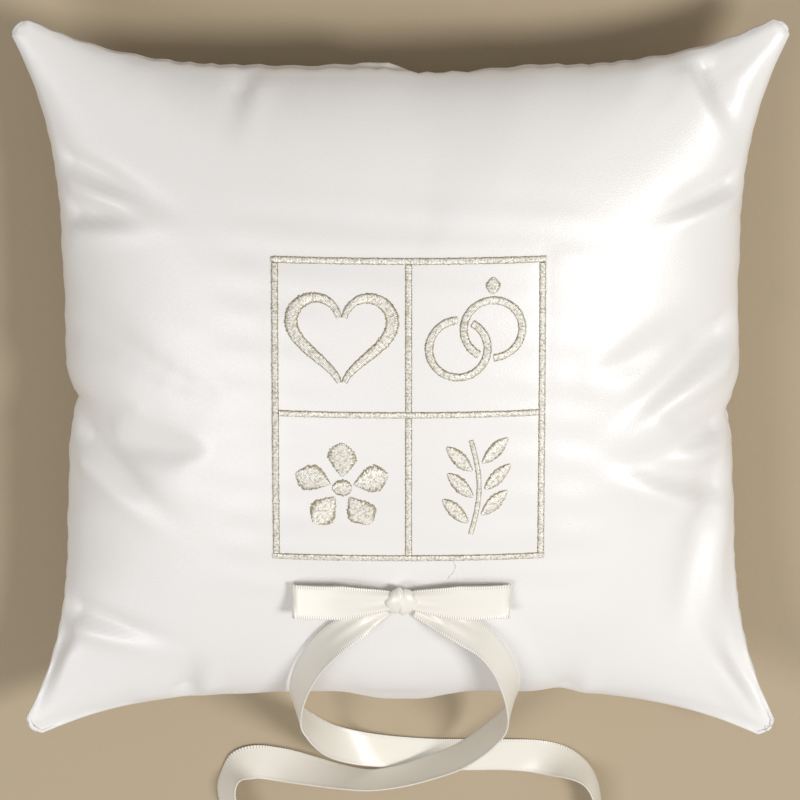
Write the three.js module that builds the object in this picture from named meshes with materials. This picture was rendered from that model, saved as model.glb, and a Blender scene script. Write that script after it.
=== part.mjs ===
// Ring bearer pillow: a stuffed satin pillow with an embroidered frame of four
// panes and a ribbon bow. Millimetres, +Z up, the pillow lying on its back.
// Origin: the middle of the pillow on the surface it rests on. +Y is the
// pillow's top edge; the bow sits below the embroidery, towards -Y.
import * as THREE from "three";
import { mergeVertices } from "three/addons/utils/BufferGeometryUtils.js";

// ---- Driving dimensions ----
const pillow = {
  width: 210, // ear tip to ear tip along X
  length: 206, // ear tip to ear tip along Y
  sidePull: 14, // how far the middle of each side is drawn in from its ears
  earSharpness: 4, // higher keeps the drawn-in side straight for longer
  earEnd: 0.955, // share of a side where the ear reaches its full width
  seamHeight: 26, // seam above the resting surface
  crownHeight: 32, // front panel's crown above the seam
  backDepth: 30, // depth the back would have if it didn't flatten on the surface
  fabric: 0.8, // panel thickness
};
const crownPower = 2.2; // how flat the middle of the crown is
const crownRound = 0.55; // how round the crown's shoulders are
const earThinning = 3; // lower thins the ears sooner
const panelCells = 18; // grid cells along each side of a panel

const clearance = 0.3; // gap kept between touching pieces
const fillingInset = 0.92; // share of the panel that the filling reaches
const fillingGap = 1.9; // room between a panel and the filling
const backing = { thickness: 0.5, margin: 6, gap: 0.4 };

const thread = { radius: 0.4, sides: 6 };
const seamLine = 0.975; // machine seam's place, as a share of the half panel
const seamEnd = 0.93; // seam threads stop this far out, inside the ears
const turningGap = 0.32; // half of the hand-closed gap in the lower side
const closingStitches = { count: 7, reach: 0.9 };

const frame = {
  centreX: 2,
  centreY: 1.8,
  width: 73,
  height: 85,
  bar: 1.8, // width of a satin-stitch bar
};
const stitch = { height: 0.8, crossCells: 1 };

const heart = { scale: 0.8, thin: 1.5, thick: 3.6, lift: 1.6 };
const rings = { radius: 7.8, band: 2.2, offsetX: 4.6, offsetY: 2.6, gemLength: 4.2, gemWidth: 4 };
const blossom = { petals: 5, inner: 3.4, outer: 12.8, petalWidth: 8, eyeRadius: 2.5 };
const sprig = { stemLength: 27, stemBand: 1.3, bow: 2.2, leafLength: 9.5, leafWidth: 4.2, pairs: 3 };

const ribbon = { width: 9.5, thickness: 0.5 };
const bow = { y: -51, knotWidth: 8.4, knotLength: 8.2, knotHeight: 4.6, knotLift: 1.5, loopReach: 29 };
const tack = { length: 4, radius: 0.35, lift: 0.4 };

// Each tail's route: the middle of the ribbon, then the way its width points,
// from its outer edge to its inner one.
const leftTail = [
  [-4.2, -54.8, 53.2, 0.62, -0.76, -0.28],
  [-8.4, -56.9, 53.6, 0.6, -0.74, 0.02],
  [-13.0, -59.8, 54.6, 0.5, -0.6, 0.42],
  [-18.0, -63.7, 54.1, 0.5, -0.44, 0.68],
  [-22.2, -68.6, 52.0, 0.54, -0.3, 0.76],
  [-25.6, -74.4, 49.2, 0.5, -0.26, 0.8],
  [-27.8, -80.4, 45.6, 0.45, -0.28, 0.84],
  [-28.9, -86.8, 40.9, 0.36, -0.42, 0.82],
  [-28.8, -93.4, 32.6, 0.26, -0.58, 0.76],
  [-27.4, -99.8, 22.4, 0.16, -0.72, 0.66],
  [-24.6, -106.2, 13.4, 0.05, -0.82, 0.56],
  [-19.7, -112.0, 6.8, -0.04, -0.88, 0.46],
  [-12.5, -115.6, 2.8, -0.05, -0.96, 0.26],
  [-4.0, -117.4, 1.0, 0, -1, 0.04],
  [8.0, -118.4, 0.6, 0, -1, 0],
  [20.0, -118.5, 0.6, 0, -1, 0],
  [31.0, -118.6, 0.6, 0, -1, 0],
  [40.0, -119.0, 1.5, -0.15, -0.94, 0.24],
  [47.6, -120.2, 4.1, -0.26, -0.58, 0.76],
  [52.9, -123.6, 5.2, -0.24, -0.2, 0.95],
  [55.4, -129.2, 5.3, -0.2, -0.02, 0.98],
  [55.6, -136.0, 5.3, -0.16, 0.04, 0.98],
  [53.0, -142.4, 5.4, 0.04, 0.16, 0.98],
  [47.2, -146.6, 4.9, 0.1, 0.5, 0.84],
  [39.6, -148.6, 2.8, 0.06, 0.88, 0.42],
  [31.6, -149.2, 0.9, 0, 1, 0.06],
];
const rightTail = [
  [4.2, -54.8, 53.2, -0.62, -0.76, -0.28],
  [8.8, -56.4, 53.8, -0.52, -0.76, 0],
  [13.6, -58.5, 54.7, -0.5, -0.66, 0.34],
  [18.6, -61.6, 54.5, -0.5, -0.5, 0.6],
  [23.2, -65.6, 53.4, -0.5, -0.3, 0.8],
  [26.8, -71.2, 50.9, -0.48, -0.16, 0.86],
  [29.2, -77.4, 47.7, -0.44, -0.18, 0.88],
  [30.5, -83.8, 43.5, -0.36, -0.3, 0.88],
  [30.6, -90.4, 36.9, -0.25, -0.44, 0.86],
  [29.5, -96.8, 28.0, -0.12, -0.56, 0.82],
  [27.0, -103.2, 19.6, 0.02, -0.58, 0.82],
  [22.8, -109.4, 14.0, 0.12, -0.52, 0.84],
  [16.6, -115.2, 10.4, 0.14, -0.44, 0.88],
  [8.6, -119.4, 8.2, 0.08, -0.38, 0.92],
  [0.0, -122.4, 7.4, 0.02, -0.32, 0.95],
  [-9.0, -124.0, 6.6, -0.02, -0.32, 0.95],
  [-18.0, -123.4, 5.3, -0.06, -0.46, 0.88],
  [-27.0, -121.8, 4.2, -0.12, -0.68, 0.72],
  [-35.0, -120.6, 2.8, -0.2, -0.88, 0.44],
  [-41.6, -119.9, 2.9, -0.16, -0.86, 0.48],
  [-46.8, -121.4, 4.3, 0.14, -0.6, 0.78],
  [-49.2, -125.8, 4.8, 0.48, -0.2, 0.85],
  [-49.0, -131.4, 4.6, 0.6, 0.04, 0.8],
  [-46.2, -137.0, 4.2, 0.56, 0.34, 0.76],
  [-40.8, -141.2, 3.2, 0.4, 0.74, 0.55],
  [-34.0, -143.6, 1.7, 0.2, 0.94, 0.26],
  [-26.6, -144.8, 0.7, 0.08, 1, 0.02],
];
const tailSteps = 64;

// ---- Derived sizes ----
const halfWidth = pillow.width / 2;
const halfLength = pillow.length / 2;
const seamGap = clearance / 2; // each panel's share of the gap at the seam
const stitchLift = clearance + 0.05;

// ---- The pillow's shape ----
// u and v run from -1 to 1 across the panel; they are lengths along the cloth.
const flare = (share) => Math.max(0, 1 - (Math.abs(share) / pillow.earEnd) ** pillow.earSharpness);
const drawnIn = (share) => pillow.sidePull * flare(share);
const planX = (u, v) => u * (halfWidth - drawnIn(v));
const planY = (u, v) => v * (halfLength - drawnIn(u));

function crown(u, v) {
  const across = Math.max(0, 1 - Math.abs(u) ** crownPower);
  const along = Math.max(0, 1 - Math.abs(v) ** crownPower);
  const ears = Math.sqrt(Math.max(0, 1 - Math.abs(u * v) ** earThinning));
  return ears * (across * along) ** crownRound;
}

const frontHeight = (u, v) => pillow.seamHeight + seamGap + pillow.crownHeight * crown(u, v);
const backHeight = (u, v) => {
  const depth = Math.min(pillow.backDepth * crown(u, v), pillow.seamHeight - pillow.fabric - seamGap);
  return pillow.seamHeight - seamGap - depth;
};

// Cloth coordinates of a point in plan, found by repeated correction.
function clothAt(x, y) {
  let u = 0;
  let v = 0;
  for (let pass = 0; pass < 12; pass += 1) {
    u = x / (halfWidth - drawnIn(v));
    v = y / (halfLength - drawnIn(u));
  }
  return [u, v];
}

const surfaceHeight = (x, y) => frontHeight(...clothAt(x, y)) + pillow.fabric;

function surfaceNormal(x, y) {
  const step = 0.5;
  const slopeX = (surfaceHeight(x + step, y) - surfaceHeight(x - step, y)) / (2 * step);
  const slopeY = (surfaceHeight(x, y + step) - surfaceHeight(x, y - step)) / (2 * step);
  return new THREE.Vector3(-slopeX, -slopeY, 1).normalize();
}

// ---- Solids from two matching grids of points ----
// top(i, j) and bottom(i, j) give the facing surfaces; their rims are joined.
function sandwich(top, bottom, cellsI, cellsJ) {
  const positions = [];
  const faces = [];
  const stride = cellsJ + 1;
  const layer = (cellsI + 1) * stride;
  for (const side of [top, bottom]) {
    for (let i = 0; i <= cellsI; i += 1) {
      for (let j = 0; j <= cellsJ; j += 1) {
        positions.push(...side(i, j));
      }
    }
  }
  const quad = (a, b, c, d) => faces.push(a, b, c, a, c, d);
  for (let i = 0; i < cellsI; i += 1) {
    for (let j = 0; j < cellsJ; j += 1) {
      const a = i * stride + j;
      quad(a, a + stride, a + stride + 1, a + 1);
      quad(layer + a, layer + a + 1, layer + a + stride + 1, layer + a + stride);
    }
  }
  const rim = [];
  for (let i = 0; i < cellsI; i += 1) rim.push(i * stride);
  for (let j = 0; j < cellsJ; j += 1) rim.push(cellsI * stride + j);
  for (let i = cellsI; i > 0; i -= 1) rim.push(i * stride + cellsJ);
  for (let j = cellsJ; j > 0; j -= 1) rim.push(j);
  rim.forEach((a, place) => {
    const b = rim[(place + 1) % rim.length];
    quad(a, layer + a, layer + b, b);
  });
  const geometry = new THREE.BufferGeometry();
  geometry.setAttribute("position", new THREE.Float32BufferAttribute(positions, 3));
  geometry.setIndex(faces);
  return geometry;
}

// Cells are finer towards the rim, where the cloth turns steeply.
const edgeDense = (cell, cells) => Math.sin((Math.PI / 2) * ((2 * cell) / cells - 1));

function panelSolid(height, reach, thickness, cells) {
  const point = (raise) => (i, j) => {
    const u = reach * edgeDense(i, cells);
    const v = reach * edgeDense(j, cells);
    return [planX(u, v), planY(u, v), height(u, v) + raise];
  };
  return sandwich(point(Math.max(thickness, 0)), point(Math.min(thickness, 0)), cells, cells);
}

// ---- Panels, filling and backing ----
const frontPanel = () => panelSolid(frontHeight, 1, pillow.fabric, panelCells);
const backPanel = () => panelSolid(backHeight, 1, -pillow.fabric, panelCells);

function filling() {
  const cells = panelCells - 4;
  const point = (height, raise) => (i, j) => {
    const u = fillingInset * edgeDense(i, cells);
    const v = fillingInset * edgeDense(j, cells);
    return [planX(u, v), planY(u, v), height(u, v) + raise];
  };
  return sandwich(point(frontHeight, -fillingGap), point(backHeight, fillingGap), cells, cells);
}

function embroideryBacking() {
  const cells = 6;
  const spanX = frame.width + 2 * backing.margin;
  const spanY = frame.height + 2 * backing.margin;
  const point = (drop) => (i, j) => {
    const x = frame.centreX + spanX * (i / cells - 0.5);
    const y = frame.centreY + spanY * (j / cells - 0.5);
    return [x, y, surfaceHeight(x, y) - pillow.fabric - drop];
  };
  return sandwich(point(backing.gap), point(backing.gap + backing.thickness), cells, cells);
}

// ---- Threads ----
function threadTube(points, steps) {
  const section = new THREE.Shape();
  for (let side = 0; side < thread.sides; side += 1) {
    const turn = (2 * Math.PI * side) / thread.sides;
    const x = thread.radius * Math.cos(turn);
    const y = thread.radius * Math.sin(turn);
    if (side === 0) section.moveTo(x, y);
    else section.lineTo(x, y);
  }
  const path = new THREE.CatmullRomCurve3(points);
  return new THREE.ExtrudeGeometry(section, { steps, bevelEnabled: false, extrudePath: path });
}

// place(share) gives the cloth coordinates along one side.
function seamThread(place, from, to) {
  const points = [];
  const stops = 8;
  for (let stop = 0; stop <= stops; stop += 1) {
    const [u, v] = place(from + ((to - from) * stop) / stops);
    points.push(new THREE.Vector3(planX(u, v), planY(u, v), pillow.seamHeight));
  }
  return threadTube(points, 14);
}

function closingThread() {
  const points = [];
  const stops = closingStitches.count * 2;
  const reach = turningGap - 0.02;
  for (let stop = 0; stop <= stops; stop += 1) {
    const u = reach * ((2 * stop) / stops - 1);
    const rise = stop % 2 === 0 ? closingStitches.reach : -closingStitches.reach;
    points.push(new THREE.Vector3(planX(u, -seamLine), planY(u, -seamLine), pillow.seamHeight + rise));
  }
  return threadTube(points, stops * 2);
}

// ---- Satin stitching ----
// A raised band that follows the panel: path(t) is its middle, width(t) its width.
function satinBand(path, width, cells, round = false) {
  const across = stitch.crossCells;
  const edges = [];
  for (let i = 0; i <= cells; i += 1) {
    const t = i / cells;
    const before = path(round ? t - 0.01 : Math.max(0, t - 0.01));
    const after = path(round ? t + 0.01 : Math.min(1, t + 0.01));
    const along = new THREE.Vector2(after[0] - before[0], after[1] - before[1]).normalize();
    const [x, y] = path(t);
    edges.push({ x, y, sideX: -along.y * width(t), sideY: along.x * width(t) });
  }
  const point = (raise) => (i, j) => {
    const { x, y, sideX, sideY } = edges[i];
    const shift = j / across - 0.5;
    const px = x + sideX * shift;
    const py = y + sideY * shift;
    return [px, py, surfaceHeight(px, py) + raise];
  };
  return sandwich(point(stitchLift + stitch.height), point(stitchLift), cells, across);
}

const line = (x0, y0, x1, y1) => (t) => [x0 + (x1 - x0) * t, y0 + (y1 - y0) * t];
const flatWidth = (width) => () => width;
const lens = (width) => (t) => 0.4 + (width - 0.4) * Math.sin(Math.PI * t) ** 0.8;

function barsOfFrame() {
  const left = frame.centreX - frame.width / 2 + frame.bar / 2;
  const right = frame.centreX + frame.width / 2 - frame.bar / 2;
  const low = frame.centreY - frame.height / 2 + frame.bar / 2;
  const high = frame.centreY + frame.height / 2 - frame.bar / 2;
  const outer = frame.bar / 2;
  const inner = frame.bar / 2 + clearance;
  const midX = frame.centreX;
  const midY = frame.centreY;
  const runs = {
    border_top: line(left - outer, high, right + outer, high),
    border_bottom: line(left - outer, low, right + outer, low),
    border_left: line(left, low + inner, left, high - inner),
    border_right: line(right, low + inner, right, high - inner),
    divider_across: line(left + inner, midY, right - inner, midY),
    divider_upper: line(midX, midY + inner, midX, high - inner),
    divider_lower: line(midX, low + inner, midX, midY - inner),
  };
  return Object.entries(runs).map(([name, run]) => {
    const cells = name.startsWith("divider_") && name !== "divider_across" ? 5 : 8;
    return [name, satinBand(run, flatWidth(frame.bar), cells)];
  });
}

const pane = (column, row) => [
  frame.centreX + (column * (frame.width - frame.bar)) / 4,
  frame.centreY + (row * (frame.height - frame.bar)) / 4,
];

function heartHalves() {
  const [cx, cy] = pane(-1, 1);
  const end = 0.12; // leaves the two halves apart at the notch and the point
  return [-1, 1].map((hand) => {
    const path = (t) => {
      const a = end + (Math.PI - 2 * end) * t;
      const x = 16 * Math.sin(a) ** 3 + 0.9;
      const y = 13 * Math.cos(a) - 5 * Math.cos(2 * a) - 2 * Math.cos(3 * a) - Math.cos(4 * a);
      return [cx + hand * heart.scale * x, cy + heart.lift + heart.scale * y];
    };
    const width = (t) => heart.thin + (heart.thick - heart.thin) * Math.sin(Math.PI * t) ** 1.5;
    return [hand < 0 ? "heart_left_side" : "heart_right_side", satinBand(path, width, 14)];
  });
}

function linkedRings() {
  const [cx, cy] = pane(1, 1);
  const reach = Math.hypot(rings.offsetX, rings.offsetY);
  const turn = Math.acos(reach / rings.radius); // from the line of centres to a crossing
  const tilt = Math.atan2(rings.offsetY, rings.offsetX);
  const spare = (rings.band / 2 + 2 * clearance) / rings.radius;
  const arcs = [
    ["ring_left", -1, tilt + turn],
    ["ring_right", 1, tilt + turn + Math.PI],
  ];
  const bands = arcs.map(([name, hand, crossing]) => {
    const x0 = cx + hand * rings.offsetX;
    const y0 = cy + hand * rings.offsetY;
    const path = (t) => {
      const a = crossing + spare * 1.25 + (2 * Math.PI - 2.5 * spare) * t;
      return [x0 + rings.radius * Math.cos(a), y0 + rings.radius * Math.sin(a)];
    };
    return [name, satinBand(path, flatWidth(rings.band), 20)];
  });
  const gemX = cx + rings.offsetX;
  const gemY = cy + rings.offsetY + rings.radius + rings.band / 2 + 2 * clearance;
  const gem = satinBand(line(gemX, gemY, gemX, gemY + rings.gemLength), lens(rings.gemWidth), 6);
  return [...bands, ["ring_gem", gem]];
}

function blossomParts() {
  const [cx, cy] = pane(-1, -1);
  const parts = [];
  for (let petal = 0; petal < blossom.petals; petal += 1) {
    const a = Math.PI / 2 + (2 * Math.PI * petal) / blossom.petals;
    const path = (t) => {
      const r = blossom.inner + (blossom.outer - blossom.inner) * t;
      return [cx + r * Math.cos(a), cy + r * Math.sin(a)];
    };
    const width = (t) => lens(blossom.petalWidth)(t ** 1.3);
    parts.push([`blossom_petal_${petal + 1}`, satinBand(path, width, 6)]);
  }
  const eye = blossom.eyeRadius;
  const round = (t) => 2 * eye * Math.sqrt(Math.max(0.02, 1 - (2 * t - 1) ** 2));
  parts.push(["blossom_eye", satinBand(line(cx - eye, cy, cx + eye, cy), round, 8)]);
  return parts;
}

function sprigParts() {
  const [cx, cy] = pane(1, -1);
  const half = sprig.stemLength / 2;
  const stem = (t) => [cx + sprig.bow * Math.sin(Math.PI * t) - sprig.bow / 2, cy - half + sprig.stemLength * t];
  const parts = [["sprig_stem", satinBand(stem, flatWidth(sprig.stemBand), 8)]];
  const start = sprig.stemBand / 2 + 2 * clearance;
  for (let pair = 0; pair < sprig.pairs; pair += 1) {
    [-1, 1].forEach((hand) => {
      const along = (pair + (hand > 0 ? 0.75 : 0.45)) / (sprig.pairs + 0.6);
      const [x, y] = stem(along);
      const lean = Math.PI / 4;
      const x0 = x + hand * (start + 0.35);
      const leaf = line(
        x0,
        y,
        x0 + hand * sprig.leafLength * Math.cos(lean),
        y + sprig.leafLength * Math.sin(lean),
      );
      const name = `sprig_leaf_${hand < 0 ? "left" : "right"}_${pair + 1}`;
      parts.push([name, satinBand(leaf, lens(sprig.leafWidth), 6)]);
    });
  }
  return parts;
}

// ---- Ribbon ----
// A flat ribbon through rows of {middle, side, width}; side is a unit vector.
function ribbonSolid(rows) {
  const cells = rows.length - 1;
  const corner = (face) => (i, j) => {
    const { middle, side, width } = rows[i];
    const before = rows[Math.max(0, i - 1)].middle;
    const after = rows[Math.min(cells, i + 1)].middle;
    const along = after.clone().sub(before).normalize();
    const square = side.clone().addScaledVector(along, -side.dot(along)).normalize();
    const normal = new THREE.Vector3().crossVectors(along, square);
    const point = middle.clone();
    point.addScaledVector(square, width * (j - 0.5));
    point.addScaledVector(normal, (face * ribbon.thickness) / 2);
    return point.toArray();
  };
  return sandwich(corner(1), corner(-1), cells, 1);
}

function tailSolid(route) {
  const middles = new THREE.CatmullRomCurve3(route.map((row) => new THREE.Vector3(...row.slice(0, 3))));
  const sides = new THREE.CatmullRomCurve3(route.map((row) => new THREE.Vector3(...row.slice(3))));
  const rows = [];
  for (let step = 0; step <= tailSteps; step += 1) {
    const t = step / tailSteps;
    rows.push({ middle: middles.getPoint(t), side: sides.getPoint(t).normalize(), width: ribbon.width });
  }
  return ribbonSolid(rows);
}

// A flat loop: out from the knot along the panel, round its end, and back above.
function loopSolid(hand) {
  const start = bow.knotWidth / 2 + clearance + 0.3;
  const stops = 7;
  const rows = [];
  const row = (reach, lift) => {
    const share = Math.min(1, Math.max(0, (reach - start) / (bow.loopReach - start)));
    const x = hand * reach;
    const middle = new THREE.Vector3(x, bow.y, surfaceHeight(x, bow.y));
    const normal = surfaceNormal(x, bow.y);
    middle.addScaledVector(normal, lift);
    const side = new THREE.Vector3().crossVectors(normal, new THREE.Vector3(hand, 0, 0)).normalize();
    const width = ribbon.width * (0.72 + 0.28 * Math.min(1, share * 2.5));
    rows.push({ middle, side, width });
  };
  const outward = (share) => start + (bow.loopReach - 1 - start) * share;
  for (let stop = 0; stop <= stops; stop += 1) {
    const share = stop / stops;
    row(outward(share), 3.2 - 1.4 * share);
  }
  row(bow.loopReach - 0.1, 2.5);
  row(bow.loopReach, 3.4);
  row(bow.loopReach - 0.1, 4.3);
  for (let stop = stops; stop >= 0; stop -= 1) {
    const share = stop / stops;
    row(outward(share), 4.3 + 1.1 * Math.sin(Math.PI * share) + 0.2 * share);
  }
  return ribbonSolid(rows);
}

// ---- Knot and tack, set square to the panel under them ----
function onPanel(mesh, lift) {
  const seat = new THREE.Group();
  const normal = surfaceNormal(0, bow.y);
  seat.position.set(0, bow.y, surfaceHeight(0, bow.y));
  seat.quaternion.setFromUnitVectors(new THREE.Vector3(0, 0, 1), normal);
  mesh.position.z = lift;
  seat.add(mesh);
  return seat;
}

function knotShape() {
  const ball = new THREE.SphereGeometry(0.5, 14, 9);
  ball.rotateX(Math.PI / 2);
  ball.scale(bow.knotWidth, bow.knotLength, bow.knotHeight);
  return ball;
}

function tackShape() {
  const bar = new THREE.CapsuleGeometry(tack.radius, tack.length - 2 * tack.radius, 3, 8);
  bar.rotateZ(Math.PI / 2);
  return bar;
}

// ---- Materials ----
const satin = () => new THREE.MeshStandardMaterial({ color: 0xf6f3f1, roughness: 0.38, metalness: 0 });
const fibre = () => new THREE.MeshStandardMaterial({ color: 0xf4f4f2, roughness: 0.95, metalness: 0 });
const metallicThread = () => new THREE.MeshStandardMaterial({ color: 0xd9d3bf, roughness: 0.35, metalness: 0.7 });
const sewingThread = () => new THREE.MeshStandardMaterial({ color: 0xf2efe8, roughness: 0.7, metalness: 0 });
const ivoryRibbon = () => new THREE.MeshStandardMaterial({ color: 0xf5f1e6, roughness: 0.32, metalness: 0 });

// ---- Assembly ----
const group = new THREE.Group();

function piece(name, shape, material) {
  const bare = shape.clone();
  bare.deleteAttribute("normal");
  bare.deleteAttribute("uv");
  const mesh = new THREE.Mesh(mergeVertices(bare, 1e-5), material);
  mesh.name = name;
  return mesh;
}

group.add(piece("front_panel", frontPanel(), satin()));
group.add(piece("back_panel", backPanel(), satin()));
group.add(piece("filling", filling(), fibre()));
group.add(piece("embroidery_backing", embroideryBacking(), fibre()));

const sides = {
  seam_thread_top: [(share) => [share, seamLine], -seamEnd, seamEnd],
  seam_thread_left: [(share) => [-seamLine, share], -seamEnd, seamEnd],
  seam_thread_right: [(share) => [seamLine, share], -seamEnd, seamEnd],
  seam_thread_lower_left: [(share) => [share, -seamLine], -seamEnd, -turningGap],
  seam_thread_lower_right: [(share) => [share, -seamLine], turningGap, seamEnd],
};
for (const [name, [place, from, to]] of Object.entries(sides)) {
  group.add(piece(name, seamThread(place, from, to), sewingThread()));
}
group.add(piece("closing_stitches", closingThread(), sewingThread()));

const stitchedParts = [
  ...barsOfFrame(),
  ...heartHalves(),
  ...linkedRings(),
  ...blossomParts(),
  ...sprigParts(),
];
for (const [name, shape] of stitchedParts) {
  group.add(piece(name, shape, metallicThread()));
}

group.add(onPanel(piece("bow_tack", tackShape(), sewingThread()), tack.lift + tack.radius));
group.add(onPanel(piece("bow_knot", knotShape(), ivoryRibbon()), bow.knotLift + bow.knotHeight / 2));
group.add(piece("bow_loop_left", loopSolid(-1), ivoryRibbon()));
group.add(piece("bow_loop_right", loopSolid(1), ivoryRibbon()));
group.add(piece("ribbon_tail_left", tailSolid(leftTail), ivoryRibbon()));
group.add(piece("ribbon_tail_right", tailSolid(rightTail), ivoryRibbon()));

export default group;
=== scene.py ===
"""Ring bearer pillow: its looks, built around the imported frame.

The pillow lies on its back on a plain floor. Two squares of satin are sewn
together and blown up by a cloth simulation, and its creases are laid over the
pillow's crowned shape. Embroidery threads, a ribbon bow and two curling ribbon
tails are then built on it. Shapes are worked out in millimetres and turned into
metres as each mesh is made; +Z is up and +Y is the pillow's top edge.
"""
import math

import bpy
import numpy as np
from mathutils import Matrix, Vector
from mathutils.bvhtree import BVHTree


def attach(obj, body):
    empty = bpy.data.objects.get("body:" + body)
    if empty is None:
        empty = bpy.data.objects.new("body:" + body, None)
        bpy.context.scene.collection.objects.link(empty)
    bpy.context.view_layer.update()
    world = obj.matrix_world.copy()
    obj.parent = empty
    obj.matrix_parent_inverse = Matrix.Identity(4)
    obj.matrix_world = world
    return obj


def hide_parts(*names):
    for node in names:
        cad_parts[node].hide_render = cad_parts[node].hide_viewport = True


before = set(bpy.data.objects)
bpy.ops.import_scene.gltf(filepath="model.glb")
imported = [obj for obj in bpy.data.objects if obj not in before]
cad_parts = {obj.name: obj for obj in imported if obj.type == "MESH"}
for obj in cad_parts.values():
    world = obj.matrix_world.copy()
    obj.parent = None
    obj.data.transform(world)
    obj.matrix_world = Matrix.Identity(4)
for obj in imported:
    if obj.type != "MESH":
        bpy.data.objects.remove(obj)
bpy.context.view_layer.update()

MM = 0.001
ROOT = "root"
rng = np.random.default_rng(11)

# ---------------------------------------------------------------- sizes, mm
HALF_WIDTH = 105.0  # ear tip from the middle, along X
HALF_LENGTH = 103.0
SIDE_PULL = 14.0  # how far the middle of a side is drawn in
EAR_SHARPNESS = 4
EAR_END = 0.955  # share of a side where the ear reaches its full width
EAR_ROUND = 2.6  # how much of each ear's tip is rounded off
EAR_THINNING = 3
SEAM_HEIGHT = 26.0
CROWN_HEIGHT = 32.9
BACK_DEPTH = 30.9
CROWN_POWER = 2.2
CROWN_ROUND = 0.55
COVER_THICKNESS = 0.35
FLAT_SOFTNESS = 1.5  # rounds the edge of the flat patch that the back rests on
LOWEST = 0.02  # the back stays this far above the floor

SIM_CELLS = 72  # cells along each side of the simulated cloth
SIM_SCALE = 10.0  # the cloth is simulated this many times its size
SIM_FRAMES = 46
CUT = (214.0, 210.0)  # the flat squares before sewing
CLOTH = {
    "quality": 8, "mass": 0.3, "air_damping": 2, "use_pressure": True, "uniform_pressure_force": 3,
    "tension_stiffness": 60, "compression_stiffness": 30, "shear_stiffness": 15,
    "bending_stiffness": 6, "tension_damping": 8, "compression_damping": 8, "shear_damping": 8,
}
START_SWELL = 6.0  # how far the squares stand apart as the simulation starts
START_WAVES = 14
CREASE_GAIN = 0.5
CREASE_BLUR = 9  # cells; whatever is broader than this isn't a crease
CELLS = 144  # cells along each side of the finished panels

FRAME_CENTRE = (2.0, 1.8)
FRAME_SIZE = (73.0, 85.0)
BAR = 1.8
CALM_REACH = 24.0  # creases grow to full depth this far from the frame
BACKING_MARGIN = 6.0
BACKING_LAYERS = (0.6, 1.0)  # its two faces, below the cover's outside
STITCH_PITCH = 0.4
STITCH_RADIUS = 0.17
STITCH_PAD = 0.34  # how high the middle of a satin stitch stands
# A satin stitch from end to end: share of its half width, then share of its height.
STITCH_ARCH = ((-1, -0.55), (-0.86, 0.55), (-0.45, 0.95), (0, 1), (0.45, 0.95), (0.86, 0.55), (1, -0.55))
STITCH_SIDES = 5

FILLING_GAP = 2.2  # between the cover's outside and the filling
FILLING_LUMPS = 0.25
SEAM_END = 0.93  # share of a side where its seam thread stops
TURNING_GAP = 0.32  # half of the opening in the lower seam, as a share
SEAM_INSET = 1.6
LOCKSTITCH = 2.5
SEWING_RADIUS = 0.16

BOW_Y = -51.0  # the bow's middle
KNOT = (8.4, 8.2, 4.6)  # across, along and high
KNOT_LIFT = 1.2
LOOP_START = KNOT[0] / 2 - 1.6  # a loop sets out inside the knot
LOOP_REACH = 29.0
LOOP_TURN = math.radians(15)  # each loop's lower edge stands off the cover
LOOP_UNDER = 0.94  # the layer below is narrower, so it hides behind the one above

RIBBON_WIDTH = 9.5
RIBBON_THICKNESS = 0.24
SELVAGE = 0.95  # width of the ribbon's woven edge
TICK = 0.63  # spacing of the selvage's weft loops
RIBBON_STEP = 0.158
CUT_SLANT = 3.2  # how far a tail's cut end runs off square
CUT_REACH = 12.0  # how far back from the end the slant fades out

# Each tail's route: the ribbon's middle, then the way its width points.
LEFT_TAIL = [
    (-4.2, -54.8, 53.2, 0.62, -0.76, -0.28), (-8.4, -56.9, 53.6, 0.6, -0.74, 0.02),
    (-13.0, -59.8, 54.6, 0.5, -0.6, 0.42), (-18.0, -63.7, 54.1, 0.5, -0.44, 0.68),
    (-22.2, -68.6, 52.0, 0.54, -0.3, 0.76), (-25.6, -74.4, 49.2, 0.5, -0.26, 0.8),
    (-27.8, -80.4, 45.6, 0.45, -0.28, 0.84), (-28.9, -86.8, 40.9, 0.36, -0.42, 0.82),
    (-28.8, -93.4, 32.6, 0.26, -0.58, 0.76), (-27.4, -99.8, 22.4, 0.16, -0.72, 0.66),
    (-24.6, -106.2, 13.4, 0.05, -0.82, 0.56), (-19.7, -112.0, 6.8, -0.04, -0.88, 0.46),
    (-12.5, -115.6, 2.8, -0.05, -0.96, 0.26), (-4.0, -117.4, 1.0, 0, -1, 0.04),
    (8.0, -118.4, 0.6, 0, -1, 0), (20.0, -118.5, 0.6, 0, -1, 0),
    (31.0, -118.6, 0.6, 0, -1, 0), (40.0, -119.0, 1.5, -0.15, -0.94, 0.24),
    (47.6, -120.2, 4.1, -0.26, -0.58, 0.76), (52.9, -123.6, 5.2, -0.24, -0.2, 0.95),
    (55.4, -129.2, 5.3, -0.2, -0.02, 0.98), (55.6, -136.0, 5.3, -0.16, 0.04, 0.98),
    (53.0, -142.4, 5.4, 0.04, 0.16, 0.98), (47.2, -146.6, 4.9, 0.1, 0.5, 0.84),
    (39.6, -148.6, 2.8, 0.06, 0.88, 0.42), (31.6, -149.2, 0.9, 0, 1, 0.06),
]
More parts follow.
